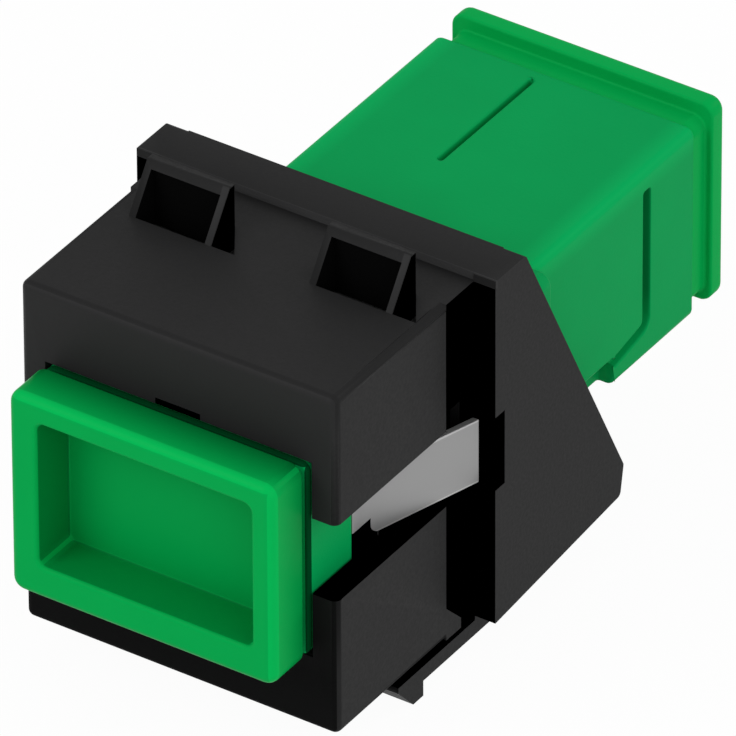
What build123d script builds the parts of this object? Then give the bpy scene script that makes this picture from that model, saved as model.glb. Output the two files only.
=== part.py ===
"""SC fibre adapter in its snap-in panel housing, with a dust cap in each port.

The housing is one black moulding: a front block, a frame plate with two side
wings behind it, two hollow teeth on top and a springy latch arm underneath.
The adapter is slid in from behind until its flange meets the frame plate, and
the two leaves of its steel clip spring out in front of that plate.

Frame: X to the right, Y to the rear and Z up, in millimetres. The origin is
the middle of the split sleeve, on the bore, where the two fibres meet.
"""
import os
from math import radians, tan

from build123d import *

os.makedirs("parts", exist_ok=True)

# Adapter body, two halves joined at their flanges
body_width = 12.85
body_height = 9.5
body_half_length = 14.5
body_corner = 0.4
port_side_wall = 1.875
port_top_wall = 1.0
keyway_width = 1.9
keyway_depth = 0.45
keyway_length = 7.0
flange_side = 1.075
flange_rise = 0.3
flange_thickness = 1.97
flange_corner = 0.6

# Marks moulded into the outside of the rear half
groove_width = 0.5
groove_depth = 0.4
top_groove_offset = 1.2
top_groove_start = 6.8
top_groove_length = 7.1
side_groove_y = 10.9
side_groove_foot_y = 8.4
side_groove_above = 1.05
side_groove_below = 1.65
corner_notch_width = 0.8
corner_notch_height = 1.45

# Hook insert, one in each half
insert_side_lap = 0.95
insert_top_lap = 0.25
insert_thickness = 1.2
holder_outer = 4.6
holder_lip_bore = 2.9
holder_lip = 0.6
hook_side_gap = 0.4
hook_thickness = 0.8
hook_height = 3.0
hook_end_gap = 0.5
hook_catch = 0.6
hook_catch_length = 0.9

# Split sleeve
sleeve_bore = 2.49
sleeve_outer = 3.2
sleeve_length = 11.4
sleeve_slot = 0.5

# Housing: the front block
block_side_wall = 1.2
block_height = 16.8
block_depth = 8.05
block_front = -14.3
block_edge = 0.35
window_top = 2.1
window_bottom = -1.65
core_inset = 0.075
core_height = 1.1
skin = 1.1
front_skin = 1.5

# Housing: the panel gap, the frame plate and its wings
panel_gap = 2.13
neck_wall = 0.475
top_bridge = 0.3
gusset_length = 1.1
gusset_end = 0.5
plate_thickness = 2.15
plate_rise = 0.36
wing_thickness = 1.08
wing_proud = 0.1
wing_front_bottom = -8.35
wing_reach = 9.72
wing_rear_top = -6.05
wing_rear_bottom = -7.5
wing_corner = 0.5
leaf_notch_margin = 0.25
leaf_notch_depth = 0.7

# Housing: the hollow teeth on top
tooth_centres = (-4.6, 4.25)
tooth_width = 4.05
tooth_height = 2.05
tooth_ramp = 1.4
tooth_flat = 0.35
tooth_bar = 0.32
fin_thickness = 0.32
relief_width = 1.15

# Housing: the latch arm underneath
arm_gap = 0.25
arm_thickness = 0.75
arm_length = 5.7
arm_nose = 0.3
catch_depth = 0.75
catch_length = 0.75
catch_ramp = 1.1

# Spring clip
clip_thickness = 0.3
band_front = -11.2
band_length = 1.9
clip_side_top = 3.2
leaf_top = 1.75
leaf_bottom = -1.4
leaf_start = -9.9
leaf_end = -4.35
leaf_angle = 16.7
leaf_pocket_depth = 0.5
leaf_pocket_length = 4.2

# Dust caps
cap_overhang = 0.075
cap_corner = 0.6
cap_edge = 0.45
tray_side_wall = 1.1
tray_top_wall = 1.35
plug_length = 6.0
plug_wall = 0.8
front_rim_depth = 2.2
front_neck = 0.4
front_neck_inset = 0.7
rear_rim_depth = 1.0
rear_neck = 1.28
rear_neck_inset = 0.35
rear_lip = 0.3
tray_floor = 0.6
plug_lead = 0.3

# Clearances
insert_clearance = 0.05
sleeve_clearance = 0.15
clip_clearance = 0.02
leaf_margin = 0.2
opening_clearance = 0.1
plug_clearance = 0.1

# Sizes and places that follow from the ones above
port_width = body_width - 2 * port_side_wall
port_height = body_height - 2 * port_top_wall
flange_width = body_width + 2 * flange_side
flange_height = body_height + 2 * flange_rise
insert_width = port_width + 2 * insert_side_lap
insert_height = port_height + 2 * insert_top_lap
hook_gap = port_width - 2 * (hook_side_gap + hook_thickness)
hook_reach = body_half_length - plug_length - hook_end_gap
cap_width = body_width + 2 * cap_overhang
cap_height = body_height + 2 * cap_overhang
tray_width = cap_width - 2 * tray_side_wall
tray_height = cap_height - 2 * tray_top_wall
holder_bore = sleeve_outer + 2 * sleeve_clearance
holder_length = sleeve_length / 2 + 2 * sleeve_clearance + holder_lip
insert_pocket = insert_thickness + insert_clearance
opening_width = body_width + 2 * opening_clearance
opening_height = body_height + 2 * opening_clearance
block_width = opening_width + 2 * block_side_wall
neck_width = opening_width + 2 * neck_wall
core_width = opening_width - 2 * core_inset
block_rear = block_front + block_depth
plate_front = block_rear + panel_gap
plate_rear = plate_front + plate_thickness
wing_front = plate_front - wing_proud
block_top = block_height / 2
plate_top = block_top + plate_rise
clip_outer = body_width / 2
clip_inner = clip_outer - clip_thickness


def across(y):
    """Plane across the bore at depth y, with X to the right and Z up."""
    return Plane.XZ.offset(-y)


def half_body():
    """One moulded half of the adapter, its joint at Y = 0 and its port towards +Y."""
    with BuildPart() as half:
        with BuildSketch(across(0)):
            RectangleRounded(body_width, body_height, body_corner)
        extrude(amount=-body_half_length)
        with BuildSketch(across(0)):
            RectangleRounded(flange_width, flange_height, flange_corner)
        extrude(amount=-flange_thickness)
        with BuildSketch(across(0)):
            Rectangle(insert_width + 2 * insert_clearance, insert_height + 2 * insert_clearance)
        extrude(amount=-insert_pocket, mode=Mode.SUBTRACT)
        with BuildSketch(across(0)):
            Rectangle(port_width, port_height)
        extrude(amount=-body_half_length, mode=Mode.SUBTRACT)
        # The keyway that admits the plug one way up only
        with BuildSketch(across(body_half_length)):
            with Locations((0, port_height / 2)):
                Rectangle(keyway_width, 2 * keyway_depth)
        extrude(amount=keyway_length, mode=Mode.SUBTRACT)
    return half.part


def hook_insert():
    """Plate, sleeve holder and two latch hooks in one moulding, facing +Y."""
    hook_outer = hook_gap / 2 + hook_thickness
    hook_tip = hook_gap / 2 - hook_catch
    hook_root = insert_thickness / 2
    with BuildPart() as insert:
        with BuildSketch(across(0)):
            RectangleRounded(insert_width, insert_height, body_corner)
        extrude(amount=-insert_thickness)
        with BuildSketch(across(0)):
            Circle(holder_outer / 2)
        extrude(amount=-holder_length)
        with BuildSketch(Plane.XY):
            with BuildLine():
                Polyline(
                    (hook_gap / 2, hook_root),
                    (hook_gap / 2, hook_reach - hook_catch_length),
                    (hook_tip, hook_reach - hook_catch_length / 2),
                    (hook_gap / 2 + hook_thickness / 2, hook_reach),
                    (hook_outer, hook_reach),
                    (hook_outer, hook_root),
                    close=True,
                )
            make_face()
            mirror(about=Plane.YZ)
        extrude(amount=hook_height / 2, both=True)
        with BuildSketch(across(0)):
            Circle(holder_bore / 2)
        extrude(amount=-(holder_length - holder_lip), mode=Mode.SUBTRACT)
        with BuildSketch(across(0)):
            Circle(holder_lip_bore / 2)
        extrude(amount=-holder_length, mode=Mode.SUBTRACT)
    return insert.part


def dust_cap(rim_depth, neck_length, neck_inset, lip):
    """Cap for a port at +Y: a rim round a tray, a neck, and a hollow plug in the port.

    The lip is how far the rim stands above the body, for a fingernail.
    """
    rim_rear = body_half_length + neck_length + rim_depth
    plug_width = port_width - 2 * plug_clearance
    plug_height = port_height - 2 * plug_clearance
    with BuildPart() as cap:
        with BuildSketch(across(rim_rear)):
            with Locations((0, lip / 2)):
                RectangleRounded(cap_width, cap_height + lip, cap_corner)
        extrude(amount=rim_depth)
        outer_edges = cap.edges().group_by(Axis.Y)[-1]
        fillet(outer_edges, min(cap_edge, rim_depth / 3))
        with BuildSketch(across(rim_rear - rim_depth)):
            RectangleRounded(
                cap_width - 2 * neck_inset,
                cap_height - 2 * neck_inset,
                cap_corner,
            )
        extrude(amount=neck_length)
        with BuildSketch(across(body_half_length)):
            RectangleRounded(plug_width, plug_height, body_corner)
        extrude(amount=plug_length)
        chamfer(cap.edges().group_by(Axis.Y)[0], plug_lead)
        # The plug is hollow behind a thin floor
        with BuildSketch(across(body_half_length - plug_length)):
            Rectangle(plug_width - 2 * plug_wall, plug_height - 2 * plug_wall)
        extrude(amount=-(plug_length - tray_floor / 2), mode=Mode.SUBTRACT)
        # The tray in the face that shows
        with BuildSketch(across(rim_rear)):
            RectangleRounded(tray_width, tray_height, body_corner)
        extrude(amount=rim_rear - body_half_length - tray_floor / 2, mode=Mode.SUBTRACT)
        fillet(cap.edges().filter_by(GeomType.LINE).group_by(Axis.Y)[-1], body_corner / 2)
    return cap.part


plain_half = half_body()
plain_insert = hook_insert()

# Front half, with the seat of the spring clip round its sides and underside
seat_width = body_width - 2 * clip_thickness - 2 * clip_clearance
seat_bottom = -body_height / 2 + clip_thickness + clip_clearance
seat_top = clip_side_top + clip_clearance

with BuildPart() as adapter_front_half:
    mirror(plain_half, about=Plane.XZ)
    with BuildSketch(across(band_front - clip_clearance)):
        with Locations((0, (seat_top - body_height) / 2)):
            Rectangle(2 * body_width, seat_top + body_height)
        with Locations((0, (seat_top + seat_bottom) / 2)):
            Rectangle(seat_width, seat_top - seat_bottom, mode=Mode.SUBTRACT)
    extrude(amount=-(band_length + 2 * clip_clearance), mode=Mode.SUBTRACT)
    # Pockets behind the leaves, so that they can be pressed flat
    with BuildSketch(across(band_front + band_length)):
        with Locations((0, (leaf_top + leaf_bottom) / 2)):
            Rectangle(2 * body_width, leaf_top - leaf_bottom + 2 * leaf_margin)
            Rectangle(body_width - 2 * leaf_pocket_depth, 2 * body_height, mode=Mode.SUBTRACT)
    extrude(amount=-leaf_pocket_length, mode=Mode.SUBTRACT)
adapter_front_half.part.label = "adapter_front_half"
export_step(adapter_front_half.part, "parts/adapter_front_half.step")

# Rear half, with its moulded grooves and the notches along its lower corners
with BuildPart() as adapter_rear_half:
    add(plain_half)
    with BuildSketch(Plane.XY.offset(body_height / 2)):
        with Locations((-top_groove_offset, top_groove_start + top_groove_length / 2)):
            SlotOverall(top_groove_length, groove_width / 2, rotation=90)
    extrude(amount=-groove_depth, mode=Mode.SUBTRACT)
    side_groove_top = body_height / 2 - side_groove_above
    side_groove_bottom = side_groove_below - body_height / 2
    with BuildSketch(Plane.YZ.offset(body_width / 2)):
        with BuildLine():
            FilletPolyline(
                (side_groove_foot_y, side_groove_bottom - groove_width),
                (side_groove_y, side_groove_bottom),
                (side_groove_y, side_groove_top),
                radius=groove_width,
            )
        trace(line_width=groove_width)
    side_groove = extrude(amount=-groove_depth, mode=Mode.SUBTRACT)
    mirror(side_groove, about=Plane.YZ, mode=Mode.SUBTRACT)
    with BuildSketch(across(flange_thickness)):
        with Locations((body_width / 2, -body_height / 2), (-body_width / 2, -body_height / 2)):
            Rectangle(2 * corner_notch_width, 2 * corner_notch_height)
    extrude(amount=-(side_groove_foot_y - flange_thickness), mode=Mode.SUBTRACT)
adapter_rear_half.part.label = "adapter_rear_half"
export_step(adapter_rear_half.part, "parts/adapter_rear_half.step")

with BuildPart() as hook_insert_front:
    mirror(plain_insert, about=Plane.XZ)
hook_insert_front.part.label = "hook_insert_front"
export_step(hook_insert_front.part, "parts/hook_insert_front.step")

with BuildPart() as hook_insert_rear:
    add(plain_insert)
hook_insert_rear.part.label = "hook_insert_rear"
export_step(hook_insert_rear.part, "parts/hook_insert_rear.step")

# Split sleeve, a tube slit along its top
with BuildPart() as split_sleeve:
    with BuildSketch(Plane.XZ):
        Circle(sleeve_outer / 2)
        Circle(sleeve_bore / 2, mode=Mode.SUBTRACT)
        with Locations((0, sleeve_outer / 2)):
            Rectangle(sleeve_slot, sleeve_outer, mode=Mode.SUBTRACT)
    extrude(amount=sleeve_length / 2, both=True)
split_sleeve.part.label = "split_sleeve"
export_step(split_sleeve.part, "parts/split_sleeve.step")

# Spring clip, one strip bent round the body with a leaf flared out on each side
leaf_run = leaf_end - leaf_start
leaf_flare = leaf_run * tan(radians(leaf_angle))
clip_height = clip_side_top + body_height / 2

with BuildPart() as spring_clip:
    with BuildSketch(across(band_front)):
        with Locations((0, (clip_side_top - body_height / 2) / 2)):
            Rectangle(body_width, clip_height)
        with Locations((0, (clip_side_top - body_height / 2) / 2 + clip_thickness)):
            Rectangle(2 * clip_inner, clip_height, mode=Mode.SUBTRACT)
    extrude(amount=-band_length)
    fillet(spring_clip.edges().filter_by(Axis.Y).group_by(Axis.Z)[0], clip_thickness)
    with BuildSketch(Plane.XY.offset(leaf_bottom)):
        with BuildLine():
            Polyline(
                (clip_inner, leaf_start),
                (clip_inner + leaf_flare, leaf_end),
                (clip_outer + leaf_flare, leaf_end),
                (clip_outer, leaf_start),
                close=True,
            )
        make_face()
        mirror(about=Plane.YZ)
    extrude(amount=leaf_top - leaf_bottom)
spring_clip.part.label = "spring_clip"
export_step(spring_clip.part, "parts/spring_clip.step")

# Snap-in housing
plate_bottom = -block_top - arm_gap - arm_thickness
leaf_notch_height = leaf_top - leaf_bottom + 2 * leaf_notch_margin
wing_outer = block_width / 2 + wing_thickness
tooth_foot = block_rear - tooth_flat - tooth_ramp

with BuildPart() as snap_in_housing:
    # Front block, and the narrower neck that the panel's edges enter
    with BuildSketch(across(block_front)):
        RectangleRounded(block_width, block_height, block_edge)
    extrude(amount=-block_depth)
    fillet(snap_in_housing.edges().group_by(Axis.Y)[0], block_edge)
    with BuildSketch(across(block_rear)):
        Rectangle(neck_width, block_height)
        with Locations((0, block_top - top_bridge / 2)):
            Rectangle(block_width, top_bridge)
    extrude(amount=-panel_gap)
    # Gusset behind the block's lower edge
    with BuildSketch(Plane.YZ):
        with BuildLine():
            Polyline(
                (block_rear, -block_top),
                (block_rear + gusset_length, -block_top),
                (block_rear + gusset_length, gusset_end - block_top),
                (block_rear, gusset_end + gusset_length - block_top),
                close=True,
            )
        make_face()
    extrude(amount=block_width / 2, both=True)
    # Frame plate
    with BuildSketch(across(plate_front)):
        with Locations((0, (plate_top + plate_bottom) / 2)):
            Rectangle(block_width, plate_top - plate_bottom)
    extrude(amount=-plate_thickness)
    # Side wings, which stand a little proud of the plate and meet the panel
    with BuildSketch(Plane.YZ.offset(block_width / 2)) as wing_side:
        with BuildLine():
            Polyline(
                (wing_front, plate_top),
                (plate_rear, plate_top),
                (wing_front + wing_reach, wing_rear_top),
                (wing_front + wing_reach - wing_corner / 2, wing_rear_bottom),
                (wing_front, wing_front_bottom),
                close=True,
            )
        make_face()
        with Locations((wing_front, (leaf_top + leaf_bottom) / 2)):
            Rectangle(2 * leaf_notch_depth, leaf_notch_height, mode=Mode.SUBTRACT)
        rear_corners = wing_side.vertices().filter_by_position(Axis.X, plate_rear, wing_front + wing_reach)
        fillet(rear_corners, wing_corner / 2)
    wing = extrude(amount=wing_thickness)
    mirror(wing, about=Plane.YZ)
    # Teeth on top, each with a ramp in front and a latching face behind
    for centre in tooth_centres:
        with BuildSketch(Plane.YZ.offset(centre)):
            with BuildLine():
                Polyline(
                    (tooth_foot, block_top - skin / 2),
                    (tooth_foot, block_top),
                    (tooth_foot + tooth_ramp, block_top + tooth_height),
                    (block_rear, block_top + tooth_height),
                    (block_rear, block_top - skin / 2),
                    close=True,
                )
            make_face()
        extrude(amount=tooth_width / 2, both=True)
    # Latch arm underneath, springing from the frame plate
    arm_top = -block_top - arm_gap
    arm_bottom = arm_top - arm_thickness
    arm_front = plate_front - arm_length
    with BuildSketch(Plane.YZ):
        with BuildLine():
            Polyline(
                (plate_front, arm_top),
                (arm_front, arm_top),
                (arm_front, arm_top - arm_nose),
                (arm_front + catch_ramp, arm_bottom - catch_depth),
                (arm_front + catch_ramp + catch_length, arm_bottom - catch_depth),
                (arm_front + catch_ramp + catch_length, arm_bottom),
                (plate_front, arm_bottom),
                close=True,
            )
        make_face()
    extrude(amount=block_width / 2, both=True)
    # Opening for the adapter, from front to rear
    with BuildSketch(across(block_front)):
        Rectangle(opening_width, opening_height)
    extrude(amount=-(plate_rear - block_front), mode=Mode.SUBTRACT)
    # Side windows for the clip's leaves, open at the front
    with BuildSketch(across(block_front)):
        with Locations((0, (window_top + window_bottom) / 2)):
            Rectangle(block_width, window_top - window_bottom)
    extrude(amount=-(plate_front - block_front), mode=Mode.SUBTRACT)
    # Cores above and below the opening, drawn from the rear
    core_centre = block_top - skin - core_height / 2
    with BuildSketch(across(block_front + front_skin)):
        with Locations((0, core_centre), (0, -core_centre)):
            Rectangle(core_width, core_height)
    extrude(amount=-(plate_rear - block_front - front_skin), mode=Mode.SUBTRACT)
    # Pockets that leave each tooth as two fins and a bar, open to the core
    pocket_width = tooth_width - 2 * fin_thickness
    with BuildSketch(Plane.XY.offset(core_centre)):
        with Locations(*[(centre, tooth_foot + tooth_ramp / 2) for centre in tooth_centres]):
            Rectangle(pocket_width, tooth_ramp)
    extrude(amount=block_top + tooth_height - tooth_bar - core_centre, mode=Mode.SUBTRACT)
    # Relief beside each tooth, narrowing towards its latching face
    for centre in tooth_centres:
        side = centre + tooth_width / 2
        with BuildSketch(Plane.XY.offset(core_centre)):
            with BuildLine():
                Polyline(
                    (side, tooth_foot),
                    (side + relief_width, tooth_foot),
                    (side, block_rear),
                    close=True,
                )
            make_face()
        extrude(amount=block_top - core_centre, mode=Mode.SUBTRACT)
snap_in_housing.part.label = "snap_in_housing"
export_step(snap_in_housing.part, "parts/snap_in_housing.step")

# Dust caps
front_neck_cap = dust_cap(front_rim_depth, front_neck, front_neck_inset, 0)
rear_neck_cap = dust_cap(rear_rim_depth, rear_neck, rear_neck_inset, rear_lip)

with BuildPart() as front_dust_cap:
    mirror(front_neck_cap, about=Plane.XZ)
front_dust_cap.part.label = "front_dust_cap"
export_step(front_dust_cap.part, "parts/front_dust_cap.step")

with BuildPart() as rear_dust_cap:
    add(rear_neck_cap)
rear_dust_cap.part.label = "rear_dust_cap"
export_step(rear_dust_cap.part, "parts/rear_dust_cap.step")
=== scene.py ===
"""Looks of the SC fibre adapter in its snap-in housing, around its fixed CAD frame.

Every piece is in metres, in the frame of the CAD: X to the right, Y to the
rear of the panel and Z up, with the origin on the bore between the two ports.
"""
import math

import bpy
from bpy.props import FloatProperty, FloatVectorProperty, PointerProperty
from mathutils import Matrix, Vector


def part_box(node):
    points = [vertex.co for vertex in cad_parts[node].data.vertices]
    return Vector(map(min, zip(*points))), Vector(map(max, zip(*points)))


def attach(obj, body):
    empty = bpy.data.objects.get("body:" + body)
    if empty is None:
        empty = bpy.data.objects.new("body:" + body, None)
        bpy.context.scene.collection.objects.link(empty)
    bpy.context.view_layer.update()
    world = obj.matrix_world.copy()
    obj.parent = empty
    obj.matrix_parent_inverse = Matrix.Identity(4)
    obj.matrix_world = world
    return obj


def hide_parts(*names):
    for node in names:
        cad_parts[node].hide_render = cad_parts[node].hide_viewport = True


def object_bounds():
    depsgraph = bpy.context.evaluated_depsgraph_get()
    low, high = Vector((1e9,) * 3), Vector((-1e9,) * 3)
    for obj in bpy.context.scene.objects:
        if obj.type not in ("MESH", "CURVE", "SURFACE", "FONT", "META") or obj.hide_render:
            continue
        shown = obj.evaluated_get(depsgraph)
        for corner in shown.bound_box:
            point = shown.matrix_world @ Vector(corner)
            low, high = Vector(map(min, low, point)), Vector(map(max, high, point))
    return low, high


bl_info = {
    "name": "SC fibre adapter",
    "version": (1, 0, 0),
    "blender": (4, 5, 0),
    "location": "3D View > Sidebar > Adapter",
    "description": "Dresses a fibre adapter and its snap-in housing",
    "category": "Object",
}

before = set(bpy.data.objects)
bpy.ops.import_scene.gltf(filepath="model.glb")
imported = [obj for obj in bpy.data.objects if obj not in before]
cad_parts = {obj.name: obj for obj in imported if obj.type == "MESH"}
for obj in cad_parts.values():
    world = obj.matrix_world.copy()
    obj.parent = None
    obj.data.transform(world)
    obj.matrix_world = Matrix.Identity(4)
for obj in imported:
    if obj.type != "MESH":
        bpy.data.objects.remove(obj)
cad_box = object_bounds()

MM = 0.001
SLIVER = 0.02 * MM  # reach of a mask past the face that it covers

# The photograph's frame and its camera
IMAGE_SIZE = 736
SENSOR_WIDTH = 36.0
FOCAL_PIXELS = 16938
CAMERA_AZIMUTH = 33.68
CAMERA_ELEVATION = 35.01
CAMERA_ROLL = -0.25
CAMERA_TARGET = (-0.25 * MM, 0.0, -1.45 * MM)
CLIP_START = 10 * MM
CLIP_END = 100.0

# Places on the housing: the block, the teeth and the plate
housing_low, housing_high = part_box("snap_in_housing")
TOOTH_TOP = housing_high.z
BLOCK_TOP = 8.4 * MM
BLOCK_REAR = housing_low.y + 8.05 * MM
BLOCK_SIDE = 7.725 * MM
BLOCK_FACE = -14.2 * MM
CORE_TOP = 6.2 * MM
PLATE_FRONT = BLOCK_REAR + 2.13 * MM
NECK_HALF = 7.0 * MM
TOOTH_FOOT = BLOCK_REAR - 1.75 * MM
TOOTH_CENTRES = (-4.6 * MM, 4.25 * MM)
TOOTH_HALF = 2.025 * MM
TOOTH_SLOPE = 2.05 / 1.4
FIN = 0.32 * MM
RELIEF_WIDTH = 1.15 * MM

# Places on the housing: the window, the key slot, the wings and the latch arm
WINDOW_LOW = -1.65 * MM
KEY_SLOT_HALF = 1.1 * MM
KEY_SLOT_TOP = 5.15 * MM
WING_FRONT = PLATE_FRONT - 0.1 * MM
WING_OUTSIDE = 8.805 * MM
NOTCH_DEPTH = 0.7 * MM
NOTCH_LOW = -1.65 * MM
NOTCH_HIGH = 2.0 * MM
GUSSET_TOP = -6.7 * MM
GUSSET_REAR = BLOCK_REAR + 1.1 * MM
ARM_TOP = -8.65 * MM

# Places on the adapter body
BODY_HALF_WIDTH = 6.425 * MM
BODY_HALF_HEIGHT = 4.75 * MM
EDGE_FADE = 1.2 * MM
GROOVE_DEPTH = 0.48 * MM
GROOVE_HIGH = 4.05 * MM
GROOVE_DARK = -1.4 * MM
GROOVE_PALE = -3.4 * MM
GROOVE_FRONT = 8.0 * MM
GROOVE_REAR = 11.3 * MM
COLLAR = 0.12 * MM
POCKET_DEPTH = 1.3 * MM
COVERED_REAR = -2.2 * MM

# Places on the front dust cap
cap_low, cap_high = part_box("front_dust_cap")
CAP_HALF_WIDTH = cap_high.x
CAP_HALF_HEIGHT = cap_high.z
CAP_FRONT = cap_low.y
CAP_SKIN = 0.1 * MM
FRONT_LIP = 0.25 * MM
CAP_TOP = CAP_HALF_HEIGHT + FRONT_LIP
RIM_REAR = CAP_FRONT + 2.2 * MM
RIM_EDGE = 0.3 * MM
RIM_CORNER = 0.4 * MM
TRAY_HALF_WIDTH = 5.4 * MM
TRAY_HALF_HEIGHT = 3.475 * MM
TRAY_MOUTH = CAP_FRONT + 0.15 * MM
TRAY_FLOOR = CAP_FRONT + 2.5 * MM
FLOOR_REACH = 0.3 * MM
WALL_SKIN = 0.06 * MM
WALL_REACH = 0.2 * MM
WALL_BAND = 2.5 * WALL_REACH
LIP_REACH = 0.62 * MM
LEFT_WALL_SHIFT = 0.3 * MM
LOW_WALL_SHIFT = 0.3 * MM
HIGH_WALL_SHIFT = 0.45 * MM
TRAY_LEFT = LEFT_WALL_SHIFT - TRAY_HALF_WIDTH
TRAY_LOW = LOW_WALL_SHIFT - TRAY_HALF_HEIGHT
TRAY_HIGH = HIGH_WALL_SHIFT + TRAY_HALF_HEIGHT

# Places on the clip's leaf
LEAF_FRONT = -9.9 * MM
LEAF_MIDDLE = 0.175 * MM
LEAF_HALF = 1.575 * MM
CUT_EDGE = 0.1 * MM
BAND_LOW = -0.57 * MM
FOOT_ROUND = 0.55 * MM

# How the CAD meshes are made smooth
MERGE_DISTANCE = 0.002 * MM
FLAT_ANGLE = math.radians(0.5)
SHARP_ANGLE = math.radians(32)
SMOOTH_ANGLE = math.radians(38)
ROUND_SEGMENTS = 2

# Mouldings: roughness, specular level, size of the grain and mottle of the colour
HOUSING_FINISH = (0.52, 0.07, 0.16 * MM, 0.06)
BODY_FINISH = (0.42, 0.02, 0.14 * MM, 0.06)
CAP_FINISH = (0.34, 0.02, 0.2 * MM, 0.04)
INSERT_FINISH = (0.45, 0.4, 0.15 * MM, 0.06)
FLOW_SIZE = 3.5 * MM
GLOSS_SPREAD = 0.05
NOISE_RANGE = (0.3, 0.7)  # where most of a noise texture's values lie

# Bumps: how tall they stand, and their strength
MOULDED_BUMP = (0.012 * MM, 0.35)
ROLLED_BUMP = (0.004 * MM, 0.4)
GROUND_BUMP = (0.002 * MM, 0.3)

# Steel and ceramic: sizes of their patterns, and ranges of roughness and tone
ROLLED_SIZE = 0.5 * MM
ROLLED_STRETCH = (1.0, 1.0, 9.0)
STEEL_METALLIC = 0.75
STEEL_ROUGHNESS = (0.42, 0.55)
STEEL_TONES = (0.92, 1.06)
STEEL_EDGE_HIGHLIGHT = 1.5
GROUND_SIZE = 0.08 * MM
CLOUD_SIZE = 2.0 * MM
CERAMIC_ROUGHNESS = (0.12, 0.2)
CERAMIC_TONES = (0.96, 1.03)

# How many times paler a place with painted light or a painted highlight gets than its
# moulding, and the share it gets
HOUSING_PAINTED_LIGHT = 2.4
BODY_PAINTED_HIGHLIGHT = 1.3
CAP_PAINTED_HIGHLIGHT = 1.25
FIN_PAINTED_LIGHT = 0.6
FACE_PAINTED_LIGHT = 0.3

# How black a place with painted shade is, from 0 to 1
TOOTH_POCKET_SHADE = 0.8
UNDER_HEIGHT = 4.0 * MM
UNDER_SHADES = (0.7, 0.45)
GROOVE_SHADE = 0.4
COLLAR_SHADE = 0.85
RIM_TOP_SHADE = 0.6
RIM_SIDE_SHADE = 0.32
TRAY_LEFT_SHADE = 0.42
TRAY_LOW_SHADE = 0.3
TRAY_FLOOR_SHADE = 0.12

# Sockets of a Mix node that its colour form uses
COLOUR_MIX_INPUTS = (0, 6, 7)
COLOUR_MIX_OUTPUT = 2

# Floor and light; a lamp is its name, direction, distance, size and power
WORLD_STRENGTH = 0.7
FLOOR_SIZE = 4.0
FLOOR_DROP = 0.02 * MM
FLOOR_WHITE = 0.96
FLOOR_PAPER = (0.85, 0.85, 0.85, 1.0)
WHITE = (1.0, 1.0, 1.0, 1.0)
BLACK = (0.0, 0.0, 0.0, 1.0)
LAMPS = (
    ("key", (-0.38, -0.68, 0.63), 0.5, 0.25, 0.68),
    ("fill", (0.85, -0.4, 0.35), 0.6, 0.4, 0.7),
    ("rim", (0.56, 0.69, 0.46), 0.5, 0.2, 0.4),
)


class AdapterSizes(bpy.types.PropertyGroup):
    """Sizes of the moulded and stamped details."""

    adapter_round: FloatProperty(
        name="Adapter edge round",
        description="Radius on the sharp edges of the green adapter halves",
        default=0.1 * MM,
        subtype="DISTANCE",
    )
    cap_round: FloatProperty(
        name="Cap edge round",
        description="Radius on the sharp edges that the dust caps still have",
        default=0.12 * MM,
        subtype="DISTANCE",
    )
    clip_round: FloatProperty(
        name="Clip edge round",
        description="Radius on the stamped edges of the steel clip",
        default=0.04 * MM,
        subtype="DISTANCE",
    )
    small_round: FloatProperty(
        name="Inner piece edge round",
        description="Radius on the edges of the inserts and the sleeve",
        default=0.05 * MM,
        subtype="DISTANCE",
    )
    camera_distance: FloatProperty(
        name="Camera distance",
        description="From the camera to the middle of the adapter",
        default=700 * MM,
        subtype="DISTANCE",
    )


class AdapterColours(bpy.types.PropertyGroup):
    """Colours of the mouldings, as linear values."""

    housing: FloatVectorProperty(
        name="Housing",
        description="Black moulded plastic of the housing",
        subtype="COLOR",
        default=(0.0140, 0.0140, 0.0142),
    )
    body: FloatVectorProperty(
        name="Adapter body",
        description="Green of the two adapter halves",
        subtype="COLOR",
        default=(0.001, 0.300, 0.075),
    )
    cap: FloatVectorProperty(
        name="Dust cap",
        description="Brighter green of the two dust caps",
        subtype="COLOR",
        default=(0.001, 0.350, 0.068),
    )
    steel: FloatVectorProperty(
        name="Clip steel",
        description="Stainless spring steel of the clip",
        subtype="COLOR",
        default=(0.31, 0.31, 0.31),
    )
    insert: FloatVectorProperty(
        name="Insert",
        description="Natural plastic of the hook inserts",
        subtype="COLOR",
        default=(0.55, 0.54, 0.49),
    )
    ceramic: FloatVectorProperty(
        name="Sleeve ceramic",
        description="White zirconia of the split sleeve",
        subtype="COLOR",
        default=(0.80, 0.79, 0.75),
    )


def sizes():
    """The sizes that the panel shows."""
    return bpy.context.scene.adapter_sizes


def colours():
    """The colours that the panel shows."""
    return bpy.context.scene.adapter_colours


class Value:
    """A node socket in an expression: each operator adds its own Math node."""

    def __init__(self, shader, socket):
        self.shader = shader
        self.socket = socket

    def _math(self, operation, other=None, swap=False):
        values = [self] if other is None else [self, other]
        if swap:
            values.reverse()
        return self.shader.node("ShaderNodeMath", {"operation": operation}, *values)

    def __add__(self, other):
        return self._math("ADD", other)

    def __sub__(self, other):
        return self._math("SUBTRACT", other)

    def __rsub__(self, other):
        return self._math("SUBTRACT", other, swap=True)

    def __mul__(self, other):
        return self._math("MULTIPLY", other)

    def __gt__(self, other):
        return self._math("GREATER_THAN", other)

    def __lt__(self, other):
        return self._math("LESS_THAN", other)

    def __abs__(self):
        return self._math("ABSOLUTE")

    def clamp(self):
        return self.shader.ramp(self, 0.0, 1.0)


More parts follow.
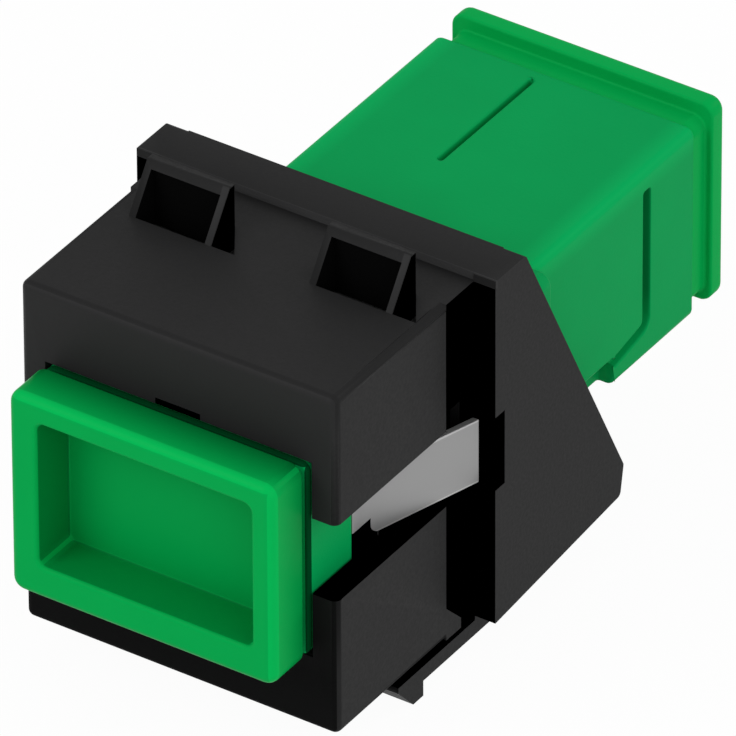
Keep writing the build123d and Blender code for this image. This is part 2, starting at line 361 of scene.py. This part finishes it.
class Shader:
    """One procedural material with a Principled surface."""

    def __init__(self, name):
        self.material = bpy.data.materials.new(name)
        self.material.use_nodes = True
        self.tree = self.material.node_tree
        self.surface = self.tree.nodes["Principled BSDF"]
        self.place = self.node("ShaderNodeTexCoord", output="Object")

    def put(self, target, value):
        """Links a Value to the socket, or sets a plain number or colour on it."""
        if isinstance(value, Value):
            self.tree.links.new(value.socket, target)
        else:
            target.default_value = value

    def node(self, kind, settings=None, *values, output=0, **inputs):
        """Adds a node: its settings first, then values or links by place or by name."""
        node = self.tree.nodes.new(kind)
        for key, setting in (settings or {}).items():
            setattr(node, key, setting)
        for index, value in enumerate(values):
            self.put(node.inputs[index], value)
        for key, value in inputs.items():
            self.put(node.inputs[key], value)
        return Value(self, node.outputs[output])

    def ramp(self, value, low, high, to_low=0.0, to_high=1.0):
        """Maps low..high onto to_low..to_high, clamped at both ends."""
        return self.node(
            "ShaderNodeMapRange", {"clamp": True}, value, low, high, to_low, to_high
        )

    def axis(self, letter):
        """One object coordinate, in metres."""
        return self.node("ShaderNodeSeparateXYZ", None, self.place, output=letter)

    def noise(self, size, detail=2.0, roughness=0.5, place=None):
        """Noise whose features are about size metres across."""
        return self.node(
            "ShaderNodeTexNoise",
            None,
            Vector=place or self.place,
            Scale=1.0 / size,
            Detail=detail,
            Roughness=roughness,
        )

    def stretched(self, scale):
        """Object coordinates multiplied by scale along each axis."""
        return self.node(
            "ShaderNodeVectorMath", {"operation": "MULTIPLY"}, self.place, scale
        )

    def mix(self, factor, first, second):
        """Colour mix of first and second by factor."""
        node = self.tree.nodes.new("ShaderNodeMix")
        node.data_type = "RGBA"
        for index, value in zip(COLOUR_MIX_INPUTS, (factor, first, second)):
            self.put(node.inputs[index], value)
        return Value(self, node.outputs[COLOUR_MIX_OUTPUT])

    def bump(self, height, distance, strength):
        """Normal from a height of 0..1 that stands distance metres tall."""
        return self.node(
            "ShaderNodeBump", None, Strength=strength, Distance=distance, Height=height
        )

    def feed(self, **sockets):
        """Sets or links the Principled sockets named, with _ for a space."""
        for key, value in sockets.items():
            self.put(self.surface.inputs[key.replace("_", " ")], value)

    def lay_painted_light(self, factor, colour):
        """Lays another colour over the surface's own by factor: here a paler colour, as
        painted light or a painted highlight.
        """
        own = Value(self, self.surface.inputs["Base Color"].links[0].from_socket)
        self.feed(Base_Color=self.mix(factor, own, colour))

    def paint_shade(self, factor):
        """Mixes in plain black by factor: painted shade, on recesses, gaps and faces in
        shadow that no light reaches.
        """
        black = self.tree.nodes.new("ShaderNodeBsdfDiffuse")
        black.inputs["Color"].default_value = BLACK
        mix = self.tree.nodes.new("ShaderNodeMixShader")
        self.tree.links.new(factor.socket, mix.inputs[0])
        self.tree.links.new(self.surface.outputs[0], mix.inputs[1])
        self.tree.links.new(black.outputs[0], mix.inputs[2])
        output = self.tree.nodes["Material Output"]
        self.tree.links.new(mix.outputs[0], output.inputs["Surface"])


def shade(colour, factor):
    """The colour times factor, with an alpha of 1."""
    return (*[min(1.0, part * factor) for part in colour], 1.0)


def moulded_plastic(name, colour, finish):
    """Moulded plastic: a spark-eroded grain, faint flow marks and uneven gloss."""
    roughness, specular, grain, mottle = finish
    shader = Shader(name)
    flow = shader.noise(FLOW_SIZE, detail=3.0)
    fine = shader.noise(grain, roughness=0.6)
    tone = shader.mix(flow, shade(colour, 1.0 - mottle), shade(colour, 1.0 + mottle))
    spread = (roughness - GLOSS_SPREAD, roughness + GLOSS_SPREAD)
    shader.feed(
        Base_Color=tone,
        Roughness=shader.ramp(fine, *NOISE_RANGE, *spread),
        Normal=shader.bump(fine, *MOULDED_BUMP),
        Specular_IOR_Level=specular,
    )
    return shader


def between(value, low, high):
    """1 where value lies between low and high, else 0."""
    return (value > low) * (value < high)


def gap_shade_mask(across, along, up):
    """1 on the panel gap's walls, in the leaf notches and in the slit over the arm: the
    places painted in shade.
    """
    inside = between(abs(across), NECK_HALF - SLIVER, WING_OUTSIDE - SLIVER)
    gap = between(along, BLOCK_REAR + SLIVER, PLATE_FRONT + SLIVER) * inside
    gap = gap * between(up, ARM_TOP + SLIVER, BLOCK_TOP - SLIVER)
    gusset = between(abs(across), BLOCK_SIDE - SLIVER, BLOCK_SIDE + SLIVER)
    gusset = gusset * (up < GUSSET_TOP) * (along < GUSSET_REAR)
    notch = between(along, WING_FRONT - SLIVER, WING_FRONT + NOTCH_DEPTH + SLIVER)
    notch = notch * between(up, NOTCH_LOW - SLIVER, NOTCH_HIGH + SLIVER) * inside
    slit = between(up, ARM_TOP - SLIVER, -BLOCK_TOP - SLIVER) * (along < PLATE_FRONT)
    return gap * (1.0 - gusset) + notch + slit


def tooth_shade_and_light_masks(centre, across, along, up):
    """The places painted in shade in and beside one tooth, and its right fin's slope that
    gets painted light.
    """
    slope = (along - TOOTH_FOOT) * TOOTH_SLOPE + (BLOCK_TOP - 2 * SLIVER)
    beneath = (up < slope) * (up < TOOTH_TOP - 2 * SLIVER)
    in_depth = between(along, TOOTH_FOOT - SLIVER, BLOCK_REAR - SLIVER)
    in_depth = in_depth * (up > CORE_TOP)
    offset = across - centre
    # The pocket, the fin's outer flank and the relief beside it get painted shade
    pocket = (abs(offset) < TOOTH_HALF - FIN + SLIVER) * TOOTH_POCKET_SHADE
    flank = between(offset, TOOTH_HALF - SLIVER, TOOTH_HALF + SLIVER)
    relief = between(offset, TOOTH_HALF - SLIVER, TOOTH_HALF + RELIEF_WIDTH + SLIVER)
    relief = relief * (up < BLOCK_TOP - SLIVER)
    # The right fin's slope gets painted light
    fin = between(offset, TOOTH_HALF - FIN - SLIVER, TOOTH_HALF - SLIVER) * (up > slope)
    return ((pocket + flank) * beneath + relief) * in_depth, fin * in_depth


def housing_material():
    """Black housing plastic: painted shade in gaps, pockets, slots and under the window;
    painted light on the fins, the plate's front strip and the upper front face.
    """
    shader = moulded_plastic("housing_plastic", colours().housing, HOUSING_FINISH)
    across, along, up = (shader.axis(letter) for letter in "XYZ")
    painted_shade = gap_shade_mask(across, along, up)
    # Painted light on the plate's front face above the block, to lift the shade behind the
    # teeth
    painted_light = (abs(along - PLATE_FRONT) < SLIVER) * (up > BLOCK_TOP - SLIVER)
    for centre in TOOTH_CENTRES:
        pocket, fin = tooth_shade_and_light_masks(centre, across, along, up)
        painted_shade = painted_shade + pocket
        painted_light = painted_light + fin * FIN_PAINTED_LIGHT
    # Painted shade on the ledge at the foot of the window
    ledge = (abs(up - WINDOW_LOW) < SLIVER) * (along < BLOCK_REAR + SLIVER)
    ledge = ledge * between(abs(across), BODY_HALF_WIDTH, BLOCK_SIDE)
    face = along < BLOCK_FACE
    # Painted shade in place of a key slot on the front face
    slot = face * (abs(across) < KEY_SLOT_HALF) * between(up, 0.0, KEY_SLOT_TOP)
    # The cap's painted shadow on the front face below the window, darker towards the
    # bottom
    under = shader.ramp(up, WINDOW_LOW - UNDER_HEIGHT, WINDOW_LOW, *UNDER_SHADES)
    under = under * face * (up < WINDOW_LOW)
    # Painted light on the front face above the window
    painted_light = painted_light + face * (up > WINDOW_LOW) * FACE_PAINTED_LIGHT
    shader.lay_painted_light(painted_light.clamp(), shade(colours().housing, HOUSING_PAINTED_LIGHT))
    shader.paint_shade((painted_shade + ledge + slot + under).clamp())
    return shader.material


def body_material():
    """Green of the adapter halves: a painted highlight on the top edges, and painted shade
    in the side grooves, under the clip's leaf and at the front collar.
    """
    shader = moulded_plastic("adapter_plastic", colours().body, BODY_FINISH)
    across, along, up = (shader.axis(letter) for letter in "XYZ")
    # Painted highlight along the top edges, fading inwards over EDGE_FADE
    edge = shader.ramp(abs(across), BODY_HALF_WIDTH - EDGE_FADE, BODY_HALF_WIDTH)
    edge = edge * shader.ramp(up, BODY_HALF_HEIGHT - EDGE_FADE, BODY_HALF_HEIGHT)
    edge = edge * (abs(across) < BODY_HALF_WIDTH + SLIVER)
    edge = edge * (up < BODY_HALF_HEIGHT + SLIVER)
    shader.lay_painted_light(edge, shade(colours().body, BODY_PAINTED_HIGHLIGHT))
    # Painted shade in the side grooves, darker upwards from GROOVE_PALE to GROOVE_DARK
    groove = abs(across) > BODY_HALF_WIDTH - GROOVE_DEPTH - SLIVER
    groove = groove * (abs(across) < BODY_HALF_WIDTH - SLIVER) * (up < GROOVE_HIGH)
    groove = groove * between(along, GROOVE_FRONT, GROOVE_REAR)
    groove = groove * shader.ramp(up, GROOVE_PALE, GROOVE_DARK, 0.0, GROOVE_SHADE)
    # Painted shade on the sides under the clip's leaf
    leaf_shade = between(abs(across), BODY_HALF_WIDTH - POCKET_DEPTH, WING_OUTSIDE)
    leaf_shade = leaf_shade * between(along, LEAF_FRONT + SLIVER, COVERED_REAR)
    # Painted shade on the body's outer edges in front of the block face, behind the front
    # cap's rim
    collar = abs(across) > BODY_HALF_WIDTH - COLLAR
    collar = collar + (abs(up) > BODY_HALF_HEIGHT - COLLAR)
    collar = collar * (along < BLOCK_FACE) * COLLAR_SHADE
    shader.paint_shade((groove + leaf_shade + collar).clamp())
    return shader.material


def cap_material():
    """Brighter, glossier green of the dust caps; the front cap gets painted shade towards
    its rim's rear and in its tray, and a painted highlight on its front edges.
    """
    shader = moulded_plastic("cap_plastic", colours().cap, CAP_FINISH)
    across, along, up = (shader.axis(letter) for letter in "XYZ")
    front = along < 0.0
    backward = (CAP_FRONT + RIM_EDGE, RIM_REAR, 0.0)
    top = up > CAP_TOP - CAP_SKIN
    side = abs(across) > CAP_HALF_WIDTH - CAP_SKIN
    shadow = top * shader.ramp(along, *backward, RIM_TOP_SHADE)
    shadow = shadow + side * shader.ramp(along, *backward, RIM_SIDE_SHADE)
    # Painted shade on the tray's left and low walls and on its floor
    tray = between(along, TRAY_MOUTH, TRAY_FLOOR)
    tray = tray * (abs(across) < TRAY_HALF_WIDTH + CAP_SKIN)
    tray = tray * between(up, TRAY_LOW - CAP_SKIN, TRAY_HIGH + CAP_SKIN)
    left = (across < TRAY_LEFT + WALL_SKIN) * TRAY_LEFT_SHADE
    low = (up < TRAY_LOW + WALL_SKIN) * (across > TRAY_LEFT + WALL_SKIN)
    floor = (along > TRAY_FLOOR - FLOOR_REACH) * TRAY_FLOOR_SHADE
    tray = tray * (left + low * TRAY_LOW_SHADE + floor)
    # Painted highlight on the front rim's top and right front edges
    edge = (up > CAP_TOP - RIM_EDGE) + (across > CAP_HALF_WIDTH - RIM_EDGE)
    edge = edge.clamp() * (along < CAP_FRONT + RIM_CORNER)
    shader.lay_painted_light(edge, shade(colours().cap, CAP_PAINTED_HIGHLIGHT))
    shader.paint_shade((front * (shadow + tray)).clamp())
    return shader.material


def insert_material():
    """Natural plastic of the hook inserts."""
    return moulded_plastic("insert_plastic", colours().insert, INSERT_FINISH).material


def steel_material():
    """Rolled spring steel, with its grain along the strip, a painted highlight on its cut
    edges and painted shade below and at the foot of the leaf.
    """
    shader = Shader("clip_steel")
    colour = colours().steel
    stretched = shader.stretched(ROLLED_STRETCH)
    grain = shader.noise(ROLLED_SIZE, detail=4.0, roughness=0.65, place=stretched)
    along, up = (shader.axis(letter) for letter in "YZ")
    middle = abs(up - LEAF_MIDDLE)
    # Painted highlight on the leaf's cut edges
    edge = between(middle, LEAF_HALF - CUT_EDGE, LEAF_HALF + SLIVER)
    steel = shader.mix(grain, *(shade(colour, tone) for tone in STEEL_TONES))
    shader.feed(
        Base_Color=shader.mix(edge, steel, shade(colour, STEEL_EDGE_HIGHLIGHT)),
        Roughness=shader.ramp(grain, *NOISE_RANGE, *STEEL_ROUGHNESS),
        Normal=shader.bump(grain, *ROLLED_BUMP),
        Metallic=STEEL_METALLIC,
    )
    # Painted shade: plain black on the band below the leaf and in the corner outside the
    # leaf foot's rounding
    band = (along < LEAF_FRONT + SLIVER) * (up < BAND_LOW)
    back = along - (LEAF_FRONT + FOOT_ROUND)
    down = up - (LEAF_MIDDLE - LEAF_HALF + FOOT_ROUND)
    corner = (back < 0.0) * (down < 0.0)
    corner = corner * (back * back + down * down > FOOT_ROUND**2)
    shader.paint_shade((band + corner).clamp())
    return shader.material


def ceramic_material():
    """Polished white zirconia with a very fine ground finish."""
    shader = Shader("sleeve_ceramic")
    ground = shader.noise(GROUND_SIZE, detail=3.0)
    cloud = shader.noise(CLOUD_SIZE)
    tones = (shade(colours().ceramic, tone) for tone in CERAMIC_TONES)
    shader.feed(
        Base_Color=shader.mix(cloud, *tones),
        Roughness=shader.ramp(ground, *NOISE_RANGE, *CERAMIC_ROUGHNESS),
        Normal=shader.bump(ground, *GROUND_BUMP),
    )
    return shader.material


def make_active(piece):
    """Selects this piece alone."""
    bpy.ops.object.select_all(action="DESELECT")
    piece.select_set(True)
    bpy.context.view_layer.objects.active = piece


def rounded_copy(node, width):
    """A CAD node's form: facets merged, sharp edges rounded by width, curves smooth."""
    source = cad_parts[node]
    piece = bpy.data.objects.new(node + "_finished", source.data.copy())
    bpy.context.scene.collection.objects.link(piece)
    piece.data.materials.clear()
    make_active(piece)
    bpy.ops.object.mode_set(mode="EDIT")
    bpy.ops.mesh.select_all(action="SELECT")
    bpy.ops.mesh.remove_doubles(threshold=MERGE_DISTANCE)
    bpy.ops.mesh.dissolve_limited(angle_limit=FLAT_ANGLE)
    bpy.ops.object.mode_set(mode="OBJECT")
    if width:
        bevel = piece.modifiers.new("edge_round", "BEVEL")
        bevel.width = width
        bevel.segments = ROUND_SEGMENTS
        bevel.limit_method = "ANGLE"
        bevel.angle_limit = SHARP_ANGLE
        bevel.miter_outer = "MITER_ARC"
        bevel.use_clamp_overlap = False
        bpy.ops.object.modifier_apply(modifier=bevel.name)
    bpy.ops.object.shade_smooth_by_angle(angle=SMOOTH_ANGLE)
    even = piece.modifiers.new("even_faces", "WEIGHTED_NORMAL")
    even.keep_sharp = True
    bpy.ops.object.modifier_apply(modifier=even.name)
    return piece


def dress(node, width, material, body):
    """Rounds one CAD node, gives it its finish and lets it stand for the node."""
    piece = rounded_copy(node, width)
    piece.data.materials.append(material)
    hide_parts(node)
    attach(piece, body)
    return piece


class ADAPTER_OT_housing(bpy.types.Operator):
    """Finish the black snap-in housing"""

    bl_idname = "adapter.housing"
    bl_label = "Snap-in housing"

    def execute(self, context):
        material = housing_material()
        dress("snap_in_housing", 0.0, material, "adapter")
        return {"FINISHED"}


class ADAPTER_OT_body(bpy.types.Operator):
    """Finish the two green halves of the adapter"""

    bl_idname = "adapter.body"
    bl_label = "Adapter halves"

    def execute(self, context):
        material = body_material()
        for node in ("adapter_front_half", "adapter_rear_half"):
            dress(node, sizes().adapter_round, material, "adapter")
        return {"FINISHED"}


class ADAPTER_OT_inner(bpy.types.Operator):
    """Finish the hook inserts and the split sleeve"""

    bl_idname = "adapter.inner"
    bl_label = "Inserts and sleeve"

    def execute(self, context):
        width = sizes().small_round
        plastic = insert_material()
        for node in ("hook_insert_front", "hook_insert_rear"):
            dress(node, width, plastic, "adapter")
        dress("split_sleeve", width, ceramic_material(), "adapter")
        return {"FINISHED"}


class ADAPTER_OT_clip(bpy.types.Operator):
    """Finish the stamped spring clip"""

    bl_idname = "adapter.clip"
    bl_label = "Spring clip"

    def execute(self, context):
        material = steel_material()
        dress("spring_clip", sizes().clip_round, material, "adapter")
        return {"FINISHED"}


class ADAPTER_OT_caps(bpy.types.Operator):
    """Finish the two dust caps"""

    bl_idname = "adapter.caps"
    bl_label = "Dust caps"

    def execute(self, context):
        width = sizes().cap_round
        material = cap_material()
        front = dress("front_dust_cap", width, material, "front_cap")
        dress("rear_dust_cap", width, material, "rear_cap")
        self.fit_rim(front)
        return {"FINISHED"}

    def fit_rim(self, cap):
        """Gives the front rim its lip and moves three walls of its tray."""

        def on_wall(axis, wall):
            """Tells which points lie on the tray's wall across that axis."""

            def chosen(place):
                within = abs(place.x) < TRAY_HALF_WIDTH + WALL_REACH
                within = within and abs(place.z) < TRAY_HALF_HEIGHT + WALL_REACH
                within = within and place.y < TRAY_FLOOR
                return within and abs(place[axis] - wall) < WALL_BAND

            return chosen

        def on_lip(place):
            within = place.z > CAP_HALF_HEIGHT - LIP_REACH
            return within and place.y < RIM_REAR + WALL_REACH

        moves = (
            ((0, 0, FRONT_LIP), on_lip),
            ((LEFT_WALL_SHIFT, 0, 0), on_wall(0, -TRAY_HALF_WIDTH)),
            ((0, 0, LOW_WALL_SHIFT), on_wall(2, -TRAY_HALF_HEIGHT)),
            ((0, 0, HIGH_WALL_SHIFT), on_wall(2, TRAY_HALF_HEIGHT)),
        )
        for shift, chosen in moves:
            make_active(cap)
            bpy.ops.object.mode_set(mode="EDIT")
            bpy.ops.mesh.select_all(action="DESELECT")
            bpy.ops.object.mode_set(mode="OBJECT")
            for point in cap.data.vertices:
                point.select = chosen(point.co)
            bpy.ops.object.mode_set(mode="EDIT")
            bpy.ops.transform.translate(value=shift)
            bpy.ops.object.mode_set(mode="OBJECT")


def area_lamp(name, direction, distance, size, power):
    """Soft square lamp that looks at the origin from the direction given."""
    data = bpy.data.lights.new(name, "AREA")
    data.size = size
    data.energy = power
    lamp = bpy.data.objects.new(name, data)
    bpy.context.scene.collection.objects.link(lamp)
    towards = Vector(direction).normalized()
    lamp.location = towards * distance
    lamp.rotation_euler = towards.to_track_quat("Z", "Y").to_euler()


def white_to_camera(tree, own, white, share, output):
    """Feeds output with own, and with a share of white on rays that reach the eye."""
    path = tree.nodes.new("ShaderNodeLightPath")
    seen = path.outputs["Is Camera Ray"]
    for ray in ("Is Glossy Ray", "Is Transmission Ray"):
        either = tree.nodes.new("ShaderNodeMath")
        either.operation = "MAXIMUM"
        tree.links.new(seen, either.inputs[0])
        tree.links.new(path.outputs[ray], either.inputs[1])
        seen = either.outputs[0]
    part = tree.nodes.new("ShaderNodeMath")
    part.operation = "MULTIPLY"
    part.inputs[1].default_value = share
    tree.links.new(seen, part.inputs[0])
    mix = tree.nodes.new("ShaderNodeMixShader")
    tree.links.new(part.outputs[0], mix.inputs[0])
    tree.links.new(own, mix.inputs[1])
    tree.links.new(white, mix.inputs[2])
    tree.links.new(mix.outputs[0], output)


class ADAPTER_OT_stage(bpy.types.Operator):
    """Set the floor, the soft light and the camera at the photograph's angle"""

    bl_idname = "adapter.stage"
    bl_label = "Floor, light and camera"

    def execute(self, context):
        scene = context.scene
        scene.view_settings.view_transform = "Standard"
        self.floor()
        self.world(scene)
        for lamp in LAMPS:
            area_lamp(*lamp)
        self.camera(scene)
        return {"FINISHED"}

    def floor(self):
        """Lays the paper that the adapter stands on."""
        level = cad_box[0][2] - FLOOR_DROP
        bpy.ops.mesh.primitive_plane_add(size=FLOOR_SIZE, location=(0, 0, level))
        floor = bpy.context.active_object
        floor.name = "floor"
        material = bpy.data.materials.new("floor_paper")
        material.use_nodes = True
        tree = material.node_tree
        paper = tree.nodes["Principled BSDF"]
        paper.inputs["Base Color"].default_value = FLOOR_PAPER
        paper.inputs["Roughness"].default_value = 1.0
        paper.inputs["Specular IOR Level"].default_value = 0.0
        white = tree.nodes.new("ShaderNodeEmission")
        output = tree.nodes["Material Output"].inputs["Surface"]
        white_to_camera(tree, paper.outputs[0], white.outputs[0], FLOOR_WHITE, output)
        floor.data.materials.append(material)

    def world(self, scene):
        """Lights the adapter dimly from all round, before a white background."""
        world = bpy.data.worlds.new("studio")
        scene.world = world
        world.use_nodes = True
        tree = world.node_tree
        dim = tree.nodes["Background"]
        dim.inputs["Color"].default_value = WHITE
        dim.inputs["Strength"].default_value = WORLD_STRENGTH
        white = tree.nodes.new("ShaderNodeBackground")
        white.inputs["Color"].default_value = WHITE
        output = tree.nodes["World Output"].inputs["Surface"]
        white_to_camera(tree, dim.outputs[0], white.outputs[0], 1.0, output)

    def camera(self, scene):
        """Sets the camera at the angle and distance that the photograph has."""
        data = bpy.data.cameras.new("camera")
        data.sensor_width = SENSOR_WIDTH
        data.lens = FOCAL_PIXELS / IMAGE_SIZE * SENSOR_WIDTH
        data.clip_start = CLIP_START
        data.clip_end = CLIP_END
        camera = bpy.data.objects.new("camera", data)
        scene.collection.objects.link(camera)
        turn = math.radians(CAMERA_AZIMUTH)
        rise = math.radians(CAMERA_ELEVATION)
        level = math.cos(rise)
        outward = Vector(
            (level * math.sin(turn), -level * math.cos(turn), math.sin(rise))
        )
        camera.location = Vector(CAMERA_TARGET) + outward * sizes().camera_distance
        camera.rotation_euler = outward.to_track_quat("Z", "Y").to_euler()
        camera.rotation_euler.rotate_axis("Z", math.radians(CAMERA_ROLL))
        scene.camera = camera


CLASSES = (
    AdapterSizes,
    AdapterColours,
    ADAPTER_OT_housing,
    ADAPTER_OT_body,
    ADAPTER_OT_inner,
    ADAPTER_OT_clip,
    ADAPTER_OT_caps,
    ADAPTER_OT_stage,
)


class ADAPTER_PT_panel(bpy.types.Panel):
    """Lists the pieces of the adapter and its stage"""

    bl_idname = "ADAPTER_PT_panel"
    bl_label = "SC fibre adapter"
    bl_space_type = "VIEW_3D"
    bl_region_type = "UI"
    bl_category = "Adapter"

    def draw(self, context):
        layout = self.layout
        for group in (sizes(), colours()):
            for key in group.bl_rna.properties.keys():
                if key not in ("rna_type", "name"):
                    layout.prop(group, key)
        for operator in CLASSES:
            if issubclass(operator, bpy.types.Operator):
                layout.operator(operator.bl_idname)


def register():
    for one in (*CLASSES, ADAPTER_PT_panel):
        bpy.utils.register_class(one)
    bpy.types.Scene.adapter_sizes = PointerProperty(type=AdapterSizes)
    bpy.types.Scene.adapter_colours = PointerProperty(type=AdapterColours)


def unregister():
    del bpy.types.Scene.adapter_colours
    del bpy.types.Scene.adapter_sizes
    for one in reversed((*CLASSES, ADAPTER_PT_panel)):
        bpy.utils.unregister_class(one)


def main():
    """Makes every piece and the stage."""
    register()
    bpy.ops.adapter.housing()
    bpy.ops.adapter.body()
    bpy.ops.adapter.inner()
    bpy.ops.adapter.clip()
    bpy.ops.adapter.caps()
    bpy.ops.adapter.stage()


if __name__ == "__main__":
    main()
